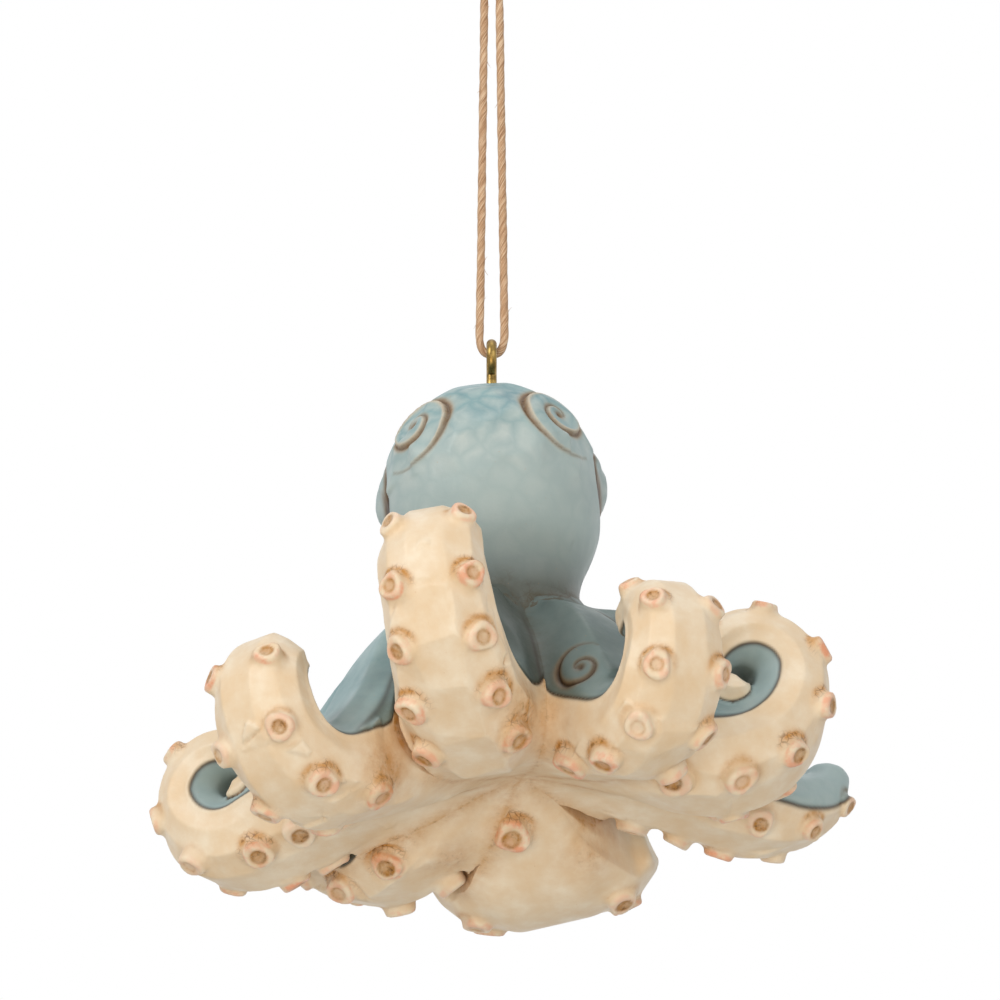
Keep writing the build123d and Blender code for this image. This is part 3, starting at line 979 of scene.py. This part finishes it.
# %% Carve and paint the head
SCROLL_TURNS = 2.1
SCROLL_PITCH = 3.05     # between the turns of a scroll
SCROLL_PLACES = ((-46.0, 25.0, 1), (45.0, 24.0, -1))      # bearing, height in degrees, hand
EYE_BEARING = 97.0
EYE_LID = 6.0           # radius of the lid line round an eye
LOWER_LID = 4.8         # and of the shadow on its lower half


def on_head(bearing, up):
    """Direction from the head's centre."""
    bearing, up = math.radians(bearing), math.radians(up)
    return directions(bearing)[0] * math.cos(up) + HUB_Z * math.sin(up)


def carve_head():
    """Cut the facets, spirals and lids, and lay on the head's paint and painted shade."""
    skin = head_skin
    edges = edges_of(skin)
    points = relaxed(points_of(skin), edges, 3)
    set_points(skin, points)
    to_arms = gap_to(points, list(ARMS), GAP_REACH)
    low = (points - HEAD_CENTRE) @ HUB_Z
    points = fill(points, (1 - ease(0.6, 2.6, to_arms)) * (low < -12), filled)
    set_points(skin, points)
    normals = normals_of(skin)
    facing = (points - HEAD_CENTRE) / np.linalg.norm(points - HEAD_CENTRE, axis=1)[:, None]
    marks = [scroll(points, normals, HEAD_CENTRE + on_head(bearing, up) * HEAD_R, on_head(bearing, up),
                    hand, SCROLL_PITCH, SCROLL_TURNS) for bearing, up, hand in SCROLL_PLACES]
    groove, stain, lip, plate = np.max(marks, 0)
    eye = np.zeros(len(points))
    for side in (-1, 1):
        middle = on_head(side * EYE_BEARING, 0)
        angle = np.arccos(np.clip(facing @ middle, -1, 1)) * HEAD_R
        # the lid line, and a painted shadow on the eye's lower half
        lid = bell(angle - EYE_LID, 0.5) + bell(angle - LOWER_LID, 1.1) * ease(1.0, -2.5, low)
        eye = np.maximum(eye, np.clip(lid, 0, 1) * (1 - 0.6 * ease(0, 5, low)))
    keep = np.clip(groove + lip + eye, 0, 1)
    points = whittle(points, normals, HEAD_FACET, FACET_DEPTH, np.maximum(keep, ease(0, -6, low)))
    points = points + normals * (0.3 * plate + 0.25 * lip - 0.7 * groove - 0.5 * eye)[:, None]
    points = points + (relaxed(points, edges, 4) - points) * (1 - 0.75 * keep)[:, None]
    set_points(skin, points)
    normals = normals_of(skin)

    cavity = relaxed(hollows(points, normals, edges, 8), edges, 2)
    touch = (1 - to_arms / GAP_REACH) ** 3 * (low < -12)
    deep = relaxed(deep_at(points, normals), edges, 12)
    paint(skin, "blue", 1 - most(0.7 * lip, 0.85 * stain, 0.85 * eye))
    paint(skin, "low", ease(8, -1, low))
    # painted shade and grime: darker in shut-in places and towards the bottom of the head
    paint(skin, "shade_and_grime", np.maximum(ease(0.3, 0.85, deep), 0.8 * ease(-8, -19, low)))
    paint(skin, "dabs", 0.25 + 0.75 * ease(-5, 6, low))
    paint(skin, "wash", most(0.9 * ease(0.03, 0.14, cavity), 0.9 * touch, stain, eye))
    paint(skin, "dark", np.maximum(0.85 * groove ** 0.6, np.clip(eye, 0, 1) ** 0.7))
    paint(skin, "pink", np.zeros(len(points)))
    paint(skin, "crackle", touch)
    paint(skin, "rub", np.maximum(ease(0.02, 0.09, -cavity), 0.8 * lip))
    skin.data.materials.append(resin)
    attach(skin, "figurine")
    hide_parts("head")
    print("head", len(skin.data.polygons), "faces,", len(SCROLL_PLACES), "spirals")


carve_head()

# %% [markdown]
# ## Brass eye
# The wire keeps its solid and gets an aged brass.

# %% Brass
def aged_brass():
    s = Shader("aged_brass")
    tone = s.ramp(s.noise(900, 5), (0.3, srgb(100, 80, 42)), (0.55, srgb(152, 126, 72)),
                  (0.8, srgb(194, 168, 108)))
    s.join(tone, s.surface.inputs["Base Color"])
    s.surface.inputs["Metallic"].default_value = 1.0
    rough = s.ramp(s.noise(1400, 4), (0.3, (0.22, 0.22, 0.22, 1)), (0.7, (0.42, 0.42, 0.42, 1)))
    s.join(rough, s.surface.inputs["Roughness"])
    return s.material


brass_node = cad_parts["brass_eye"]
brass_node.data.materials.clear()
brass_node.data.materials.append(aged_brass())

# %% [markdown]
# ## Twine
# Jute twine is two plies twisted round each other. Its route repeats the corner points of the
# solid's route, with one point on each strand six diameters above the ring, because the
# photograph shows long straight strands there. The spline cuts the corners by itself, and the
# plies follow points read from it.

# %% Route of the twine
TWINE_GAP = 0.08         # between the twine and the ring
PLY_PITCH = 5.2
FIBRE_PITCH = 6.0        # length in which a fibre goes once round
TWINE_SIDES = 20
twine_low = RING_Z + RING_R - WIRE_R - TWINE_GAP - TWINE_R
ROUTE = [(-1.0, 0, 0), (-1.45, 0, twine_low + 6.6), (-1.7, 0, twine_low),
         (1.7, 0, twine_low), (1.65, 0, twine_low + 6.6), (1.0, 0, 0)]


def smooth_line(name, places):
    """Points read from a smooth spline through control points in millimetres."""
    curve = bpy.data.curves.new(name, "CURVE")
    curve.dimensions = "3D"
    curve.resolution_u = 48
    spline = curve.splines.new("NURBS")
    spline.points.add(len(places) - 1)
    for knot, place in zip(spline.points, places):
        knot.co = (place[0] * MM, place[1] * MM, place[2] * MM, 1)
    spline.order_u = 3
    spline.use_endpoint_u = True
    holder = bpy.data.objects.new(name, curve)
    bpy.context.collection.objects.link(holder)
    mesh = bpy.data.meshes.new_from_object(holder)
    points = np.array([v.co for v in mesh.vertices]) / MM
    bpy.data.objects.remove(holder)
    bpy.data.meshes.remove(mesh)
    return points


def even_points(line, step):
    """The same line with points an even step apart, and its length."""
    walk = np.concatenate([[0], np.cumsum(np.linalg.norm(np.diff(line, axis=0), axis=1))])
    wanted = np.linspace(0, walk[-1], int(walk[-1] / step) + 1)
    return np.stack([np.interp(wanted, walk, line[:, k]) for k in range(3)], 1), walk[-1]


# %% [markdown]
# A section of two lobes, turned a little at every step, makes the twist. A few hairs stand off
# the twine, as jute sheds them.

# %% Spin the twine
def twine_shell(line, length, girth=1.0):
    """Points and faces of a closed two-ply tube along a line."""
    tangent = np.gradient(line, axis=0)
    tangent /= np.linalg.norm(tangent, axis=1)[:, None]
    across = [np.cross(tangent[0], (0.0, 1.0, 0.31))]
    for ahead in tangent[1:]:
        across.append(across[-1] - ahead * (across[-1] @ ahead))
    across = np.array(across)
    across /= np.linalg.norm(across, axis=1)[:, None]
    other = np.cross(tangent, across)
    along = np.linspace(0, length, len(line))
    turn = np.linspace(0, 2 * math.pi, TWINE_SIDES, endpoint=False)
    swell = 1 + 0.03 * np.sin(along / 2.3) + 0.02 * np.sin(along / 0.9 + 1)
    twist = 2 * math.pi * along / PLY_PITCH + 0.5 * np.sin(along / 6)
    lobes = 0.9 + 0.1 * np.abs(np.cos(turn[None, :] - twist[:, None])) ** 0.8
    reach = girth * TWINE_R * swell[:, None] * lobes
    rings = line[:, None] + reach[:, :, None] * (
        np.cos(turn)[None, :, None] * across[:, None] + np.sin(turn)[None, :, None] * other[:, None])
    faces = tube_faces(len(line), TWINE_SIDES)
    ply = (turn[None, :] - 2 * math.pi * along[:, None] / FIBRE_PITCH).ravel()
    return rings.reshape(-1, 3), faces, np.repeat(along, TWINE_SIDES), ply


def hairs(line, number, longest):
    """Thin three-sided hairs that leave the twine at a slant."""
    points, faces = [], []
    tangent = np.gradient(line, axis=0)
    tangent /= np.linalg.norm(tangent, axis=1)[:, None]
    for _ in range(number):
        at = dice.integers(4, len(line) - 4)
        out = np.cross(tangent[at], dice.normal(size=3))
        out /= np.linalg.norm(out)
        lie = tangent[at] * dice.choice((-1, 1))
        side = np.cross(out, lie)
        start = line[at] + out * TWINE_R * 0.7
        far = dice.uniform(0.4, 1.0) * longest
        spine = [start, start + lie * far * 0.6 + out * far * 0.25, start + lie * far + out * far * 0.55]
        base = len(points)
        for knot, thick in zip(spine, (0.05, 0.04, 0.015)):
            for angle in (0, 2.1, 4.2):
                points.append(knot + thick * (math.cos(angle) * out + math.sin(angle) * side))
        for ring in range(2):
            for j in range(3):
                k = base + ring * 3
                faces.append((k + j, k + (j + 1) % 3, k + 3 + (j + 1) % 3, k + 3 + j))
        faces += [(base + 2, base + 1, base), (base + 6, base + 7, base + 8)]
    return np.array(points), faces


def twine_piece(name, shells):
    """One mesh from several closed shells, with their length and ply kept on the points."""
    points, faces, along, ply = [], [], [], []
    for shell in shells:
        base = sum(len(p) for p in points)
        points.append(shell[0])
        faces += [tuple(base + corner for corner in face) for face in shell[1]]
        along.append(shell[2] if len(shell) > 2 else np.zeros(len(shell[0])))
        ply.append(shell[3] if len(shell) > 2 else np.zeros(len(shell[0])))
    mesh = bpy.data.meshes.new(name)
    mesh.from_pydata([tuple(v) for v in np.vstack(points) * MM], [], faces)
    piece = bpy.data.objects.new(name, mesh)
    bpy.context.collection.objects.link(piece)
    only(piece)
    bpy.ops.object.mode_set(mode="EDIT")
    bpy.ops.mesh.select_all(action="SELECT")
    bpy.ops.mesh.normals_make_consistent(inside=False)
    bpy.ops.object.mode_set(mode="OBJECT")
    bpy.ops.object.shade_smooth()
    ply = np.concatenate(ply)
    for key, values in (("along", np.concatenate(along)), ("ply_x", np.cos(ply)), ("ply_y", np.sin(ply))):
        layer = mesh.attributes.new(key, "FLOAT", "POINT")
        layer.data.foreach_set("value", values.astype(np.float32))
    return piece


line, twine_length = even_points(smooth_line("twine_route", ROUTE), 0.24)
twine = twine_piece("twine", [twine_shell(line, twine_length), hairs(line, 26, 1.5)])
print("twine", round(twine_length, 1), "mm")

# %% [markdown]
# The knot is above the photograph, so it is a plain overhand knot: the doubled twine wraps
# round itself and its two cut ends stand up.

# %% Tie the knot
KNOT_H, KNOT_WRAP_R = 4.2, 1.3
wrap = [(KNOT_WRAP_R * 1.25 * math.cos(a), KNOT_WRAP_R * 1.25 * math.sin(a),
         0.65 + (KNOT_H - 1.3) * n / 20 + 0.25 * math.sin(a + 1))
        for n, a in enumerate(np.linspace(0, 2 * math.pi * 2.6, 21))]
shells = []
left_end = [(-1.0, 0, -0.2), (-0.55, 0.1, 1.2), (0.5, 0.2, 2.6), (1.0, 0, KNOT_H),
            (1.7, 0.2, 6.4), (2.4, -0.1, 8.9)]
right_end = [(1.0, 0, -0.2), (0.55, -0.1, 1.2), (-0.5, -0.2, 2.6), (-1.0, 0, KNOT_H),
             (-1.9, -0.2, 6.2), (-2.3, 0.2, 8.6)]
for places in (wrap, left_end, right_end):
    strand, reach = even_points(smooth_line("knot_strand", places), 0.24)
    shells.append(twine_shell(strand, reach, 0.98))
    shells.append(hairs(strand, 6, 1.2))
knot = twine_piece("knot", shells)
print("knot", len(knot.data.polygons), "faces")


# %% [markdown]
# Jute is dull, with fine fibres that follow the twist. The fibres are drawn along the length
# and ply that each point keeps.

# %% Jute
def jute():
    s = Shader("jute")
    lay = s.node("ShaderNodeCombineXYZ")
    s.join(s.math("MULTIPLY", s.stored("along"), 0.1, clamp=False), lay.inputs["X"])
    s.join(s.stored("ply_x"), lay.inputs["Y"])
    s.join(s.stored("ply_y"), lay.inputs["Z"])
    fibre = s.noise(3.5, 6, 0.65, lay.outputs[0])
    clump = s.noise(420, 3)
    tone = s.ramp(fibre, (0.36, srgb(146, 104, 70)), (0.5, srgb(206, 168, 132)),
                  (0.62, srgb(242, 218, 188)))
    tone = s.mix(s.times(clump, 0.3), tone, srgb(196, 152, 112))
    s.join(tone, s.surface.inputs["Base Color"])
    s.surface.inputs["Roughness"].default_value = 0.8
    s.surface.inputs["Sheen Weight"].default_value = 0.2
    bump = s.node("ShaderNodeBump", Strength=0.7, Distance=0.0002)
    s.join(fibre, bump.inputs["Height"])
    s.join(bump.outputs["Normal"], s.surface.inputs["Normal"])
    return s.material


jute_finish = jute()
for piece, node in ((twine, "twine_loop"), (knot, "twine_knot")):
    piece.data.materials.append(jute_finish)
    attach(piece, "twine")
    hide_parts(node)
